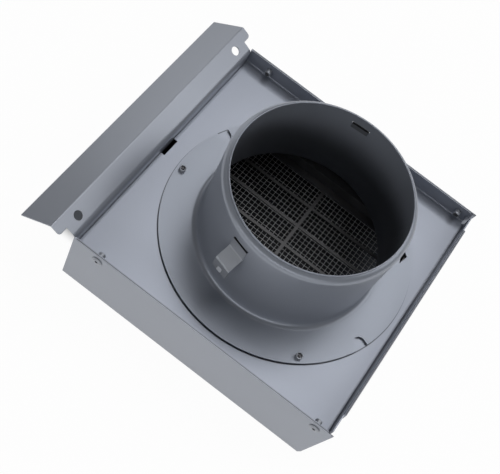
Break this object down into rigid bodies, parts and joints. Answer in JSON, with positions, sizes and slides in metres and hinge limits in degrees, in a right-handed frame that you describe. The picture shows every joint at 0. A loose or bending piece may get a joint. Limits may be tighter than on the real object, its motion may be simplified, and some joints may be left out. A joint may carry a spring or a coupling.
{
  "type": "round duct vent cover",
  "caption": "Square sheet metal hood with a round duct collar, insect screen and folded top flange; it covers a duct's end on an outside wall and lets air out of its open underside.",
  "frame": {"origin": "on the duct collar's axis, in the plane of the front panel's outer face", "axes": "+Z along the collar's axis, from the front panel towards the wall; -X towards the folded top flange, +X towards the open underside; Y from cheek to cheek"},
  "size_m": [0.2014, 0.1808, 0.1029],
  "materials": {
    "hood_paint": "satin blue-grey powder coat",
    "pan_paint": "satin blue-grey powder coat",
    "collar_paint": "satin blue-grey powder coat",
    "clip_steel": "satin blue-grey powder coat",
    "tray_steel": "plain dull steel",
    "mesh_wire": "drawn wire",
    "rivet_metal": "painted over in the body's blue-grey"
  },
  "bodies": {
    "root": {"hood": "hood_paint", "back_pan": "pan_paint", "collar": "collar_paint", "spring_clip_lower": "clip_steel", "spring_clip_upper": "clip_steel", "screen_tray": "tray_steel", "insect_mesh": "mesh_wire", "cheek_rivets_left": "rivet_metal", "cheek_rivets_right": "rivet_metal", "disc_rivets": "rivet_metal"}
  },
  "joints": []
}
